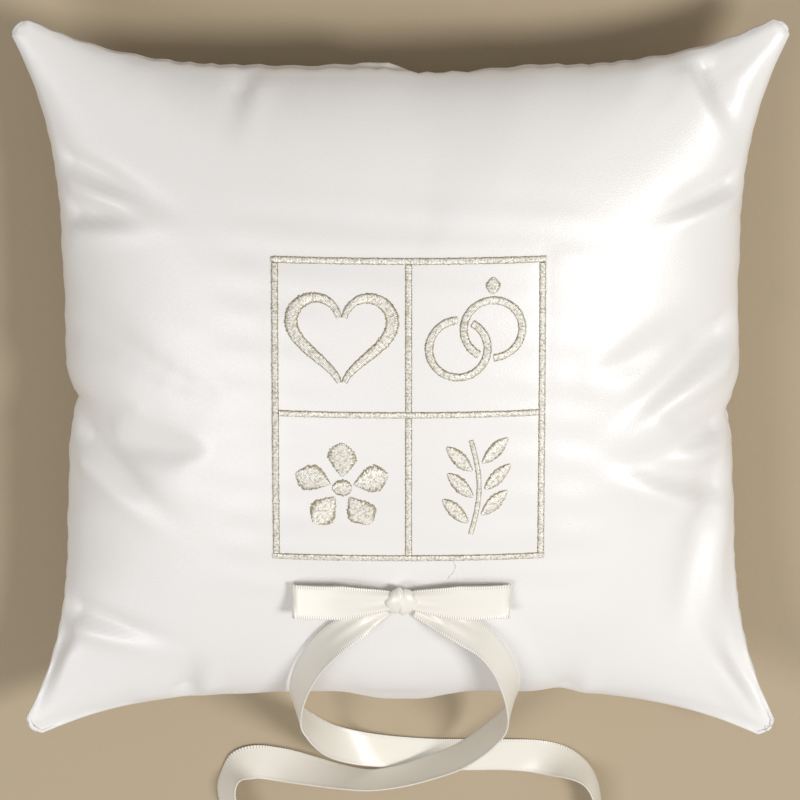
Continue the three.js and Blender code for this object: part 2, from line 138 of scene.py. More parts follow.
RIGHT_TAIL = [
    (4.2, -54.8, 53.2, -0.62, -0.76, -0.28), (8.8, -56.4, 53.8, -0.52, -0.76, 0),
    (13.6, -58.5, 54.7, -0.5, -0.66, 0.34), (18.6, -61.6, 54.5, -0.5, -0.5, 0.6),
    (23.2, -65.6, 53.4, -0.5, -0.3, 0.8), (26.8, -71.2, 50.9, -0.48, -0.16, 0.86),
    (29.2, -77.4, 47.7, -0.44, -0.18, 0.88), (30.5, -83.8, 43.5, -0.36, -0.3, 0.88),
    (30.6, -90.4, 36.9, -0.25, -0.44, 0.86), (29.5, -96.8, 28.0, -0.12, -0.56, 0.82),
    (27.0, -103.2, 19.6, 0.02, -0.58, 0.82), (22.8, -109.4, 14.0, 0.12, -0.52, 0.84),
    (16.6, -115.2, 10.4, 0.14, -0.44, 0.88), (8.6, -119.4, 8.2, 0.08, -0.38, 0.92),
    (0.0, -122.4, 7.4, 0.02, -0.32, 0.95), (-9.0, -124.0, 6.6, -0.02, -0.32, 0.95),
    (-18.0, -123.4, 5.3, -0.06, -0.46, 0.88), (-27.0, -121.8, 4.2, -0.12, -0.68, 0.72),
    (-35.0, -120.6, 2.8, -0.2, -0.88, 0.44), (-41.6, -119.9, 2.9, -0.16, -0.86, 0.48),
    (-46.8, -121.4, 4.3, 0.14, -0.6, 0.78), (-49.2, -125.8, 4.8, 0.48, -0.2, 0.85),
    (-49.0, -131.4, 4.6, 0.6, 0.04, 0.8), (-46.2, -137.0, 4.2, 0.56, 0.34, 0.76),
    (-40.8, -141.2, 3.2, 0.4, 0.74, 0.55), (-34.0, -143.6, 1.7, 0.2, 0.94, 0.26),
    (-26.6, -144.8, 0.7, 0.08, 1, 0.02),
]

STOPS_ON_COVER = 11  # a tail's first stops, which lie on the pillow

# Folds pressed into the front: x, y, direction in degrees, half length, half width, depth.
FOLDS = [
    (-82, 60, -20, 10, 2.6, 2.0),
    (-83, 49, 8, 8, 2.4, 1.6),
    (-83, -18, -35, 11, 2.8, 1.8),
    (-85, -66, -12, 10, 2.4, 1.7),
    (-96, -80, 62, 8, 2.6, 1.6),
    (86, 56, 15, 9, 2.6, 1.9),
    (80, 10, 35, 14, 3.2, 2.1),
    (82, -12, 12, 10, 2.6, 1.8),
    (76, -24, -25, 13, 3.2, 1.8),
    (84, -42, 80, 16, 4.0, 1.4),
    (94, -84, -58, 9, 2.8, 1.7),
    (80, 88, -62, 8, 2.6, 1.8),
    (-40, 88, 75, 7, 2.6, 1.2),
    (-57, -90, 80, 7, 2.8, 1.7),
    (-10, -92, 12, 9, 3.2, 1.9),
    (49, -91, 85, 7, 2.8, 1.6),
]


# ---------------------------------------------------------------- the pillow's shape
def drawn_in(share):
    """How far a side is drawn in, at a share of its length from its middle."""
    return SIDE_PULL * np.clip(1 - (np.abs(share) / EAR_END) ** EAR_SHARPNESS, 0, 1)


def crown(u, v):
    """How full the pillow is, from 1 in its middle to 0 at the seam."""
    across = np.clip(1 - np.abs(u) ** CROWN_POWER, 0, 1)
    along = np.clip(1 - np.abs(v) ** CROWN_POWER, 0, 1)
    ears = np.sqrt(np.clip(1 - np.abs(u * v) ** EAR_THINNING, 0, 1))
    return ears * (across * along) ** CROWN_ROUND


def plan(u, v):
    """Where cloth shares u, v lie, seen from above."""
    blunt = EAR_ROUND * np.abs(u * v) ** 24
    return u * (HALF_WIDTH - drawn_in(v) - blunt), v * (HALF_LENGTH - drawn_in(u) - blunt)


def front_surface(u, v):
    x, y = plan(u, v)
    return np.stack([x, y, SEAM_HEIGHT + CROWN_HEIGHT * crown(u, v)], axis=-1)


def back_surface(u, v):
    """The back sinks onto the floor with a soft edge to the flat patch."""
    x, y = plan(u, v)
    height = SEAM_HEIGHT - BACK_DEPTH * crown(u, v)
    height = FLAT_SOFTNESS * np.logaddexp(0, height / FLAT_SOFTNESS)
    return np.stack([x, y, height], axis=-1)


def cloth_at(x, y):
    """Cloth shares u, v of a point in plan."""
    u = np.zeros_like(np.asarray(x, float))
    v = np.zeros_like(u)
    for _ in range(12):
        u = x / (HALF_WIDTH - drawn_in(v))
        v = y / (HALF_LENGTH - drawn_in(u))
    return u, v


def front_height(x, y):
    return SEAM_HEIGHT + CROWN_HEIGHT * crown(*cloth_at(x, y))


def front_normal(x, y, step=0.5):
    """The even front's outward direction above a point in plan."""
    slope_x = (front_height(x + step, y) - front_height(x - step, y)) / (2 * step)
    slope_y = (front_height(x, y + step) - front_height(x, y - step)) / (2 * step)
    normal = np.stack([-slope_x, -slope_y, np.ones_like(slope_x)], axis=-1)
    return normal / np.linalg.norm(normal, axis=-1, keepdims=True)


def unit(rows):
    return rows / np.maximum(np.linalg.norm(rows, axis=-1, keepdims=True), 1e-9)


def cubic(a, b, c, d, t):
    """A smooth curve from b to c at share t of the way, with a and d as its neighbours."""
    return b + 0.5 * t * (c - a + t * (2 * a - 5 * b + 4 * c - d + t * (3 * (b - c) + d - a)))


# ---------------------------------------------------------------- meshes
def make_object(name, points, faces, material, uv=None, smooth=True):
    """A mesh object from points in mm. uv gives one pair for each point."""
    mesh = bpy.data.meshes.new(name)
    mesh.from_pydata((np.asarray(points).reshape(-1, 3) * MM).tolist(), [], faces)
    if uv is not None:
        corners = np.empty(len(mesh.loops), dtype=int)
        mesh.loops.foreach_get("vertex_index", corners)
        layer = mesh.uv_layers.new(name="threads")
        layer.data.foreach_set("uv", np.asarray(uv).reshape(-1, 2)[corners].ravel())
    mesh.polygons.foreach_set("use_smooth", [smooth] * len(mesh.polygons))
    mesh.materials.append(material)
    mesh.update()
    obj = bpy.data.objects.new(name, mesh)
    bpy.context.scene.collection.objects.link(obj)
    return obj


def grid_faces(rows, columns, start=0, flip=False):
    """Quads over a grid of points, rows by columns."""
    i, j = np.meshgrid(np.arange(rows - 1), np.arange(columns - 1), indexing="ij")
    a = (start + i * columns + j).ravel()
    quads = np.stack([a, a + columns, a + columns + 1, a + 1], axis=1)
    return (quads[:, ::-1] if flip else quads).tolist()


def tube_faces(rings, sides, start=0, capped=True):
    """Quads round stacked rings of points, and the two ends where it is capped."""
    faces = []
    for ring in range(start, start + (rings - 1) * sides, sides):
        for k in range(sides):
            a, b = ring + k, ring + (k + 1) % sides
            faces.append([a, b, b + sides, a + sides])
    if capped:
        faces.append([start + k for k in range(sides)][::-1])
        faces.append([start + (rings - 1) * sides + k for k in range(sides)])
    return faces


def rim_faces(rows, columns):
    """Closes the gap between two stacked grids with the same rows and columns."""
    rim = [i * columns for i in range(rows - 1)]
    rim += [(rows - 1) * columns + j for j in range(columns - 1)]
    rim += [i * columns + columns - 1 for i in range(rows - 1, 0, -1)]
    rim += list(range(columns - 1, 0, -1))
    size = rows * columns
    return [[a, size + a, size + b, b] for a, b in zip(rim, rim[1:] + rim[:1])]


def slab_faces(rows, columns):
    """A closed slab between two stacked grids, the upper one first."""
    faces = grid_faces(rows, columns) + grid_faces(rows, columns, start=rows * columns, flip=True)
    return faces + rim_faces(rows, columns)


def finish_piece(obj, node):
    """Hides the CAD node that a piece stands for, and attaches the piece to its body."""
    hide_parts(node)
    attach(obj, ROOT)
    return obj


# ---------------------------------------------------------------- materials
def new_material(name, color, roughness):
    """A material, its node tree and its shader, in a plain colour."""
    material = bpy.data.materials.new(name)
    material.use_nodes = True
    shader = material.node_tree.nodes["Principled BSDF"]
    shader.inputs["Base Color"].default_value = (*color, 1)
    shader.inputs["Roughness"].default_value = roughness
    return material, material.node_tree, shader


def add_node(tree, kind, **settings):
    node = tree.nodes.new(kind)
    for key, value in settings.items():
        setattr(node, key, value)
    return node


def math_node(tree, operation, first, second=None):
    node = add_node(tree, "ShaderNodeMath", operation=operation)
    for place, value in enumerate((first, second)):
        if isinstance(value, (int, float)):
            node.inputs[place].default_value = value
        elif value is not None:
            tree.links.new(value, node.inputs[place])
    return node.outputs[0]


def noise_node(tree, scale, detail=2.0):
    node = add_node(tree, "ShaderNodeTexNoise")
    node.inputs["Scale"].default_value = scale
    node.inputs["Detail"].default_value = detail
    place = add_node(tree, "ShaderNodeTexCoord").outputs["Object"]
    tree.links.new(place, node.inputs["Vector"])
    return node.outputs["Fac"]


def ramp_node(tree, factor, stops):
    """Colours between (place, colour) stops."""
    node = add_node(tree, "ShaderNodeValToRGB")
    ramp = node.color_ramp
    while len(ramp.elements) < len(stops):
        ramp.elements.new(0.5)
    for element, (place, color) in zip(ramp.elements, stops):
        element.position = place
        element.color = (*color, 1)
    tree.links.new(factor, node.inputs["Fac"])
    return node.outputs["Color"]


def bump(tree, shader, height, strength, distance):
    node = add_node(tree, "ShaderNodeBump")
    node.inputs["Strength"].default_value = strength
    node.inputs["Distance"].default_value = distance
    tree.links.new(height, node.inputs["Height"])
    tree.links.new(node.outputs["Normal"], shader.inputs["Normal"])


def map_outputs(tree):
    """The two values of the map that make_object lays on ribbons and threads."""
    place = add_node(tree, "ShaderNodeUVMap", uv_map="threads").outputs["UV"]
    split = add_node(tree, "ShaderNodeSeparateXYZ")
    tree.links.new(place, split.inputs[0])
    return split.outputs["X"], split.outputs["Y"]


def satin_material():
    """White satin whose tone drifts a little, with a very fine weave."""
    material, tree, shader = new_material("satin", (0.83, 0.81, 0.80), 0.34)
    shades = [(0.35, (0.86, 0.845, 0.835)), (0.7, (0.89, 0.88, 0.87))]
    tree.links.new(ramp_node(tree, noise_node(tree, 18), shades), shader.inputs["Base Color"])
    shader.inputs["Sheen Weight"].default_value = 0.2
    shader.inputs["Sheen Roughness"].default_value = 0.4
    shader.inputs["Specular IOR Level"].default_value = 0.75
    bump(tree, shader, noise_node(tree, 3600, 1), 0.3, 0.0002)
    return material


def ribbon_material():
    """Ivory satin with ticked selvages, with painted shade in the gaps between the weft loops. The map
    is across, along, in mm.
    """
    material, tree, shader = new_material("ribbon_satin", (0.88, 0.85, 0.77), 0.3)
    across, along = map_outputs(tree)
    from_middle = math_node(tree, "ABSOLUTE", math_node(tree, "SUBTRACT", across, RIBBON_WIDTH / 2))
    edge = math_node(tree, "GREATER_THAN", from_middle, RIBBON_WIDTH / 2 - SELVAGE)
    wave = math_node(tree, "COSINE", math_node(tree, "MULTIPLY", along, 2 * math.pi / TICK))
    # where the wave dips, the selvage is between two weft loops: these gaps get painted shade
    gap = math_node(tree, "LESS_THAN", wave, -0.25)
    shade = math_node(tree, "MULTIPLY", edge, gap)
    # the last of these colours is painted shade for the gaps between the weft loops
    body, loops, gap_shade = (0.885, 0.86, 0.785), (0.97, 0.96, 0.92), (0.68, 0.63, 0.53)
    zone = math_node(tree, "MULTIPLY", math_node(tree, "ADD", edge, shade), 0.5)
    weave = ramp_node(tree, zone, [(0.2, body), (0.4, loops), (0.6, loops), (0.8, gap_shade)])
    tree.links.new(weave, shader.inputs["Base Color"])
    shader.inputs["Sheen Weight"].default_value = 0.15
    shader.inputs["Specular IOR Level"].default_value = 0.8
    bump(tree, shader, noise_node(tree, 2600, 1), 0.15, 0.0001)
    return material


def metallic_thread_material():
    """Champagne metallic thread, with painted shade at both ends of each stitch, where it dives into the
    cloth.

    The map is share across the band, then a number drawn for each stitch."""
    material, tree, shader = new_material("metallic_thread", (0.80, 0.76, 0.66), 0.35)
    across, chance = map_outputs(tree)
    from_middle = math_node(tree, "ABSOLUTE", math_node(tree, "SUBTRACT", across, 0.5))
    jag = math_node(tree, "MULTIPLY", math_node(tree, "SUBTRACT", chance, 0.5), 0.12)
    edge = math_node(tree, "ADD", from_middle, jag)
    # bright in each stitch's middle and painted shade towards its ends; the number drawn for each stitch
    # makes the shade's edge jagged
    body = ramp_node(tree, edge, [(0.33, (0.96, 0.94, 0.88)), (0.42, (0.50, 0.44, 0.31))])
    sparkle = noise_node(tree, 1500, 2)
    glint = ramp_node(tree, sparkle, [(0.40, (0.60, 0.57, 0.49)), (0.52, (1, 1, 1))])
    mix = add_node(tree, "ShaderNodeMix", data_type="RGBA", blend_type="MULTIPLY")
    mix.inputs["Factor"].default_value = 0.75
    tree.links.new(body, mix.inputs["A"])
    tree.links.new(glint, mix.inputs["B"])
    tree.links.new(mix.outputs["Result"], shader.inputs["Base Color"])
    shader.inputs["Metallic"].default_value = 0.25
    bump(tree, shader, noise_node(tree, 2200, 2), 0.5, 0.0003)
    return material


def matt_material(name, color, scale):
    """Matt white fibres: sewing thread, filling or backing."""
    material, tree, shader = new_material(name, color, 0.8)
    bump(tree, shader, noise_node(tree, scale, 3), 0.4, 0.0004)
    return material


SATIN = satin_material()
RIBBON = ribbon_material()
METALLIC = metallic_thread_material()
SEWING = matt_material("sewing_thread", (0.82, 0.80, 0.75), 3000)
FIBRE = matt_material("fibre_filling", (0.84, 0.84, 0.83), 260)
BACKING = matt_material("backing", (0.80, 0.80, 0.78), 900)


# ---------------------------------------------------------------- cloth simulation
def simulated_panels():
    """Front and back panels, as grids of points in mm, once the sewn squares are blown up."""
    n = SIM_CELLS
    share = np.linspace(-1, 1, n + 1)
    u, v = np.meshgrid(share, share, indexing="ij")
    swell = START_SWELL * np.sqrt(np.clip((1 - u * u) * (1 - v * v), 0, 1))
    chances = rng.uniform(0.5, 6, (START_WAVES, 3))
    waves = sum(np.cos(a * u * 3 + b * v * 3 + c) for a, b, c in chances) / 6
    rim = (np.abs(u) == 1) | (np.abs(v) == 1)
    index = np.zeros((2, n + 1, n + 1), dtype=int)
    index[0] = np.arange((n + 1) ** 2).reshape(n + 1, n + 1)
    index[1] = index[0]
    index[1][~rim] = (n + 1) ** 2 + np.arange(np.count_nonzero(~rim))
    ripple = np.where(rim, 0, waves)
    front = np.stack([u * CUT[0] / 2, v * CUT[1] / 2, swell + ripple], axis=-1)
    back = np.stack([u * CUT[0] / 2, v * CUT[1] / 2, ripple - swell], axis=-1)
    points = np.concatenate([front.reshape(-1, 3), back[~rim]])
    faces = []
    for side, flip in enumerate((False, True)):
        for quad in grid_faces(n + 1, n + 1, flip=flip):
            faces.append([int(index[side].flat[corner]) for corner in quad])

    cloth = make_object("sewn_squares", points * SIM_SCALE, faces, SATIN)
    modifier = cloth.modifiers.new("cloth", "CLOTH")
    for setting, value in CLOTH.items():
        setattr(modifier.settings, setting, value)
    modifier.settings.effector_weights.gravity = 0
    modifier.collision_settings.use_collision = False
    modifier.point_cache.frame_end = SIM_FRAMES
    for number in range(1, SIM_FRAMES + 1):
        bpy.context.scene.frame_set(number)
    shaped = cloth.evaluated_get(bpy.context.evaluated_depsgraph_get())
    settled = np.array([p.co for p in shaped.data.vertices]) / (SIM_SCALE * MM)
    bpy.context.scene.frame_set(1)
    bpy.data.objects.remove(cloth)
    return settled[index[0]], settled[index[1]]


def blur(grid, spread):
    """A Gaussian blur over both directions of a grid of vectors."""
    reach = int(3 * spread)
    kernel = np.exp(-0.5 * (np.arange(-reach, reach + 1) / spread) ** 2)
    kernel /= kernel.sum()
    for axis in (0, 1):
        pad = [(0, 0), (0, 0), (0, 0)]
        pad[axis] = (reach, reach)
        padded = np.pad(grid, pad, mode="edge")
        size = grid.shape[axis]
        grid = sum(w * np.take(padded, range(k, k + size), axis=axis) for k, w in enumerate(kernel))
    return grid


def mirrored_mean(front, back):
    """The even shape under the creases: the mean over all the ways to flip and turn the panels."""
    total = np.zeros_like(front)
    for panel, side in ((front, 1), (back, -1)):
        for flip_x in (1, -1):
            for flip_y in (1, -1):
                shape = panel[::flip_x, ::flip_y] * (flip_x, flip_y, side)
                total += shape
                total += np.swapaxes(shape, 0, 1)[..., [1, 0, 2]]
    return total / 16


def sampled(grid, share):
    """The grid's values at these shares of its sides, by smooth cubic steps."""
    for axis in (0, 1):
        grid = np.moveaxis(grid, axis, 0)
        place = (share + 1) / 2 * (len(grid) - 1)
        low = np.clip(place.astype(int), 0, len(grid) - 2)
        rows = [grid[np.clip(low + shift, 0, len(grid) - 1)] for shift in (-1, 0, 1, 2)]
        grid = np.moveaxis(cubic(*rows, (place - low)[:, None, None]), 0, axis)
    return grid


def creases(share):
    """What the simulation adds to the even shape, for the front and for the back."""
    front, back = simulated_panels()
    even = mirrored_mean(front, back)
    extras = (front - even, back - even * (1, 1, -1))
    return [sampled(CREASE_GAIN * (extra - blur(extra, CREASE_BLUR)), share) for extra in extras]


# ---------------------------------------------------------------- cover
def fold_depth(x, y):
    """Each fold is a valley with a ridge beside it."""
    depth = np.zeros_like(x)
    for fx, fy, turn, half_length, half_width, deep in FOLDS:
        a = math.radians(turn)
        along = (x - fx) * math.cos(a) + (y - fy) * math.sin(a)
        across = (y - fy) * math.cos(a) - (x - fx) * math.sin(a)
        share = across / half_width
        fade = np.exp(0.5 - 0.5 * share ** 2 - 0.5 * (along / half_length) ** 2)
        depth += deep * (0.35 + share) * fade
    return depth


def frame_distance(x, y):
    """Distance in plan from the embroidered frame's outline, negative inside it."""
    dx = np.abs(x - FRAME_CENTRE[0]) - FRAME_SIZE[0] / 2
    dy = np.abs(y - FRAME_CENTRE[1]) - FRAME_SIZE[1] / 2
    outside = np.hypot(np.maximum(dx, 0), np.maximum(dy, 0))
    return outside + np.minimum(np.maximum(dx, dy), 0)


def puckers(x, y):
    """The stitching draws the cloth in: a groove at the frame, and faint level ripples beside it."""
    away = np.abs(frame_distance(x, y))
    groove = -0.22 * np.exp(-((away / 2.2) ** 2))
    ripple = 0.16 * np.sin(2 * math.pi * y / 11 + 0.05 * x) * np.exp(-((away - 7) / 8) ** 2)
    return groove + ripple


def ribbon_shelter(x, y):
    """Near 0 under the bow and the tails, which lie on the even shape, and 1 away from them."""
    near = np.exp(-(((x / 38) ** 2 + ((y - BOW_Y) / 16) ** 2)) ** 2)
    for route in (LEFT_TAIL, RIGHT_TAIL):
        for px, py, *_ in route[:STOPS_ON_COVER]:
            near = np.maximum(near, np.exp(-(((x - px) ** 2 + (y - py) ** 2) / 13 ** 2) ** 2))
    return 1 - near


def normals_of(grid):
    """The upward direction at each point of a grid."""
    return unit(np.cross(np.gradient(grid, axis=0), np.gradient(grid, axis=1)))


def calmness(x, y):
    """How freely the cloth creases: little at the embroidery, the ribbon and the top's middle."""
    near_frame = 0.2 + 0.8 * np.clip(frame_distance(x, y) / CALM_REACH, 0, 1)
    calm = near_frame * ribbon_shelter(x, y)
    return calm * (1 - 0.8 * np.exp(-(((x - 8) / 32) ** 2) - ((y - 80) / 45) ** 2))


def gather_seam(front, back, u, v, rim):
    """Puckers both panels beside the seam, sinks the seam a little and joins them along it."""
    close = np.exp(-((rim / 0.012) ** 2))
    waver = np.sin(u * 88 + 2.5 * np.sin(u * 13)) * np.sin(v * 88 + 1 + 2.5 * np.sin(v * 11))
    pucker = 0.2 * waver * close * (1 - np.abs(u * v) ** 6)
    sway = 0.8 * np.sin(3 * u + 2 * v) * close
    front[..., 2] += 2.4 * pucker + sway
    back[..., 2] += 1.5 * pucker + sway
    groove = (0.9 * np.exp(-((rim / 0.0012) ** 2)) + pucker)[..., None]
    on_side = np.abs(u) >= np.abs(v)
    on_end = np.abs(v) >= np.abs(u)
    inwards = -np.stack([np.sign(u) * on_side, np.sign(v) * on_end], axis=-1)
    front[..., :2] += groove * inwards
    back[..., :2] += groove * inwards
    edge = (front + back) / 2
    rim_line = (rim < 1e-9)[..., None]
    return np.where(rim_line, edge, front), np.where(rim_line, edge, back)


def cover_panels():
    """The front and the back as grids of points, creased, puckered and sewn."""
    share = np.sin(0.5 * math.pi * np.linspace(-1, 1, CELLS + 1))  # finer towards the seam
    u, v = np.meshgrid(share, share, indexing="ij")
    front, back = front_surface(u, v), back_surface(u, v)
    extra_front, extra_back = creases(share)
    x, y = front[..., 0], front[..., 1]
    calm = calmness(x, y)
    rim = np.clip(1 - np.maximum(np.abs(u), np.abs(v)), 0, 1)
    raised = puckers(x, y) - fold_depth(x, y) * calm * np.clip(rim / 0.05, 0, 1)
    front = front + extra_front * calm[..., None] + normals_of(front) * raised[..., None]
    back = back + extra_back * ribbon_shelter(x, y)[..., None]
    front, back = gather_seam(front, back, u, v, rim)
    back[..., 2] = np.maximum(back[..., 2], LOWEST)
    return front, back


def shell(name, grid, node, flip=False):
    """One panel of cloth, with its thickness laid inwards."""
    rows, columns = grid.shape[:2]
    obj = make_object(name, grid, grid_faces(rows, columns, flip=flip), SATIN)
    solid = obj.modifiers.new("cloth thickness", "SOLIDIFY")
    solid.thickness = COVER_THICKNESS * MM
    solid.offset = -1
    return finish_piece(obj, node)


front_grid, back_grid = cover_panels()
shell("front_cover", front_grid, "front_panel")
shell("back_cover", back_grid, "back_panel", flip=True)
cover_tree = BVHTree.FromPolygons(front_grid.reshape(-1, 3).tolist(), grid_faces(CELLS + 1, CELLS + 1))
WELL_ABOVE = 200.0  # higher than any piece


def on_cover(x, y):
    """The point of the cover at x, y in plan, and the cover's outward direction there."""
    place, normal, _, _ = cover_tree.ray_cast(Vector((x, y, WELL_ABOVE)), Vector((0, 0, -1)))
    if normal.z < 0:
        normal = -normal
    return np.array(place), np.array(normal)


# ---------------------------------------------------------------- inside the cover
def make_filling():
    """Loose fibre pressed into the cover's shape, a little lumpy."""
    step = 3
    inset = slice(2 * step, CELLS + 1 - 2 * step, step)
    layers = []
    for grid, inward in ((front_grid, -FILLING_GAP), (back_grid, FILLING_GAP)):
        points = (grid + normals_of(grid) * inward)[inset, inset]
        points[..., :2] *= 0.975
        points[..., 2] += rng.normal(0, FILLING_LUMPS, points.shape[:2])
        layers.append(points)
    top, bottom = layers
    middle = (top[..., 2] + bottom[..., 2]) / 2
    top[..., 2] = np.maximum(top[..., 2], middle + 0.4)
    bottom[..., 2] = np.clip(bottom[..., 2], 1.2, middle - 0.4)
    points = np.concatenate([top.reshape(-1, 3), bottom.reshape(-1, 3)])
    obj = make_object("loose_filling", points, slab_faces(*top.shape[:2]), FIBRE)
    return finish_piece(obj, "filling")


def make_backing():
    """The stabiliser left behind the stitched field."""
    span = np.array(FRAME_SIZE) + 2 * BACKING_MARGIN
    cells = 40
    layers = []
    for drop in BACKING_LAYERS:
        points = []
        for i in range(cells + 1):
            for j in range(cells + 1):
                x = FRAME_CENTRE[0] + span[0] * (i / cells - 0.5)
                y = FRAME_CENTRE[1] + span[1] * (j / cells - 0.5)
                place, normal = on_cover(x, y)
                points.append(place - normal * drop)
        layers.append(np.array(points))
    obj = make_object("backing_cloth", np.concatenate(layers), slab_faces(cells + 1, cells + 1), BACKING)
    return finish_piece(obj, "embroidery_backing")


# ---------------------------------------------------------------- threads
def thread_parts(points, radius, sides=6):
    """Points and faces of a round thread along a line of points, with closed ends."""
    points = np.asarray(points, float)
    along = unit(np.gradient(points, axis=0))
    level = np.ptp(points[:, 2]) < np.ptp(points[:, :2])
    guide = np.array([0.0, 0.0, 1.0]) if level else np.array([1.0, 0.0, 0.0])
    across = unit(np.cross(along, guide))
    up = np.cross(across, along)
    turn = 2 * math.pi * np.arange(sides) / sides
    ring = across[:, None] * np.cos(turn)[:, None] + up[:, None] * np.sin(turn)[:, None]
    body = points[:, None] + radius * ring
    return body.reshape(-1, 3), tube_faces(len(points), sides)


def joined(parts):
    """Several (points, faces) parts as one."""
    points, faces, count = [], [], 0
    for part_points, part_faces in parts:
        points.append(part_points)
        faces += [[count + corner for corner in face] for face in part_faces]
        count += len(part_points)
    return np.concatenate(points), faces


def seam_line(side, start, end, count, inset):
    """Points just inside the seam, along one side between two shares of its length."""
    edges = {
        "top": (front_grid[:, -1], (0, -1, 0)),
        "bottom": (front_grid[:, 0], (0, 1, 0)),
        "left": (front_grid[0], (1, 0, 0)),
        "right": (front_grid[-1], (-1, 0, 0)),
    }
    edge, inward = edges[side]
    at = np.sin(0.5 * math.pi * np.linspace(-1, 1, len(edge)))
    share = np.linspace(start, end, count)
    line = np.stack([np.interp(share, at, edge[:, k]) for k in range(3)], axis=1)
    return line + inset * np.array(inward)


def make_seam_threads():
    """Lockstitches: two threads cross, one over and one under, at each stitch."""
    runs = {
        "seam_thread_top": ("top", -SEAM_END, SEAM_END),
        "seam_thread_left": ("left", -SEAM_END, SEAM_END),
        "seam_thread_right": ("right", -SEAM_END, SEAM_END),
        "seam_thread_lower_left": ("bottom", -SEAM_END, -TURNING_GAP),
        "seam_thread_lower_right": ("bottom", TURNING_GAP, SEAM_END),
    }
    for node, (side, start, end) in runs.items():
        line = seam_line(side, start, end, 420, SEAM_INSET)
        length = np.cumsum(np.linalg.norm(np.diff(line, axis=0, prepend=line[:1]), axis=1))
        parts = []
        for phase in (0, math.pi):
            stitched = line.copy()
            stitched[:, 2] += 0.28 * np.cos(2 * math.pi * length / LOCKSTITCH + phase)
            parts.append(thread_parts(stitched, SEWING_RADIUS, 5))
        obj = make_object(f"{node}_stitches", *joined(parts), SEWING)
        finish_piece(obj, node)


def make_closing_stitches():
    """Slip stitches that step from panel to panel across the closed turning gap."""
    line = seam_line("bottom", -0.3, 0.3, 29, inset=0.25)
    for corner, lift in ((1, 0.8), (2, 0.8), (3, -0.8), (4, -0.8)):
        line[corner::4, 2] += lift
    dense = np.concatenate([np.linspace(a, b, 5)[:-1] for a, b in zip(line[:-1], line[1:])])
    obj = make_object("slip_stitches", *thread_parts(dense, SEWING_RADIUS, 6), SEWING)
    return finish_piece(obj, "closing_stitches")


def satin_stitches(path, width, slant=0.0):
    """Threads side by side across a band. path(t) is its middle, width(t) its width.

    slant leans the threads along the band. Returns points shaped (stitch, step, side, 3)
    and the matching map."""
    fine = np.linspace(0, 1, 200)
    middle = np.stack(path(fine), axis=-1)
    length = np.concatenate([[0], np.cumsum(np.linalg.norm(np.diff(middle, axis=0), axis=1))])
    count = max(3, round(length[-1] / STITCH_PITCH))
    t = np.interp((np.arange(count) + 0.5) / count * length[-1], length, fine)
    place = np.stack(path(t), axis=-1)
    before, after = (np.stack(path(np.clip(t + step, 0, 1)), axis=-1) for step in (-0.004, 0.004))
    along = unit(after - before)
    across = np.stack([-along[:, 1], along[:, 0]], axis=-1)
    across = unit(across + slant * along)
    half = np.broadcast_to(width(t), t.shape) / 2 * (1 + rng.normal(0, 0.05, count))
    steps, rise = np.array(STITCH_ARCH).T
    turn = 2 * math.pi * np.arange(STITCH_SIDES) / STITCH_SIDES + 0.3
    points = np.empty((count, len(steps), STITCH_SIDES, 3))
    for k in range(count):
        lift = min(STITCH_PAD, 0.14 + 0.2 * half[k]) * (1 + 0.08 * rng.normal())
        for s, step in enumerate(steps):
            spot = place[k] + across[k] * half[k] * step
            cover, normal = on_cover(*spot)
            side = np.cross([across[k][0], across[k][1], 0], normal)
            radial = np.cos(turn)[:, None] * side * 0.62 * STITCH_PITCH
            radial = radial + np.sin(turn)[:, None] * normal * STITCH_RADIUS
            points[k, s] = cover + normal * lift * rise[s] + radial
    # the map: share across each stitch, which sets where its painted shade falls, and a number drawn for
    # each stitch
    stitch_shade_map = np.empty((count, len(steps), STITCH_SIDES, 2))
    stitch_shade_map[..., 0] = ((steps + 1) / 2)[None, :, None]
    stitch_shade_map[..., 1] = rng.uniform(0, 1, count)[:, None, None]
    return points, stitch_shade_map


def stitched_piece(node, path, width, slant=0.0, extra=None):
    """A band of satin stitches for one node, with extra points and faces where there are any."""
    points, stitch_shade_map = satin_stitches(path, width, slant)
    count, steps, sides = points.shape[:3]
    faces = []
    for stitch in range(count):
        faces += tube_faces(steps, sides, start=stitch * steps * sides, capped=False)
    points, stitch_shade_map = points.reshape(-1, 3), stitch_shade_map.reshape(-1, 2)
    if extra is not None:
        extra_points, extra_faces = extra
        faces += [[len(points) + corner for corner in face] for face in extra_faces]
        points = np.concatenate([points, extra_points])
        stitch_shade_map = np.concatenate([stitch_shade_map, np.full((len(extra_points), 2), 0.5)])
    obj = make_object(f"{node}_threads", points, faces, METALLIC, uv=stitch_shade_map)
    return finish_piece(obj, node)


# ---------------------------------------------------------------- embroidery
# A path or a width is a function of the share t, from 0 at a band's start to 1 at its end.
def straight(x0, y0, x1, y1):
    return lambda t: (x0 + (x1 - x0) * t, y0 + (y1 - y0) * t)


def even(width):
    return lambda t: np.full_like(t, width)


def lens(width, lean=1.0, tip=0.4):
    """A leaf's width: a narrow tip, full in the middle. A lean over 1 moves the widest place on."""
    return lambda t: tip + (width - tip) * np.sin(math.pi * np.clip(t ** lean, 0, 1)) ** 0.8


def disc(radius):
    """The width across a round patch, with blunt ends."""
    return lambda t: 2 * radius * np.sqrt(np.maximum(0.02, 1 - (2 * t - 1) ** 2))


def swelling(thin, more):
    """A band that is thin at both ends and wider by more in its middle."""
    return lambda t: thin + more * np.sin(math.pi * np.clip(t, 0, 1)) ** 1.5


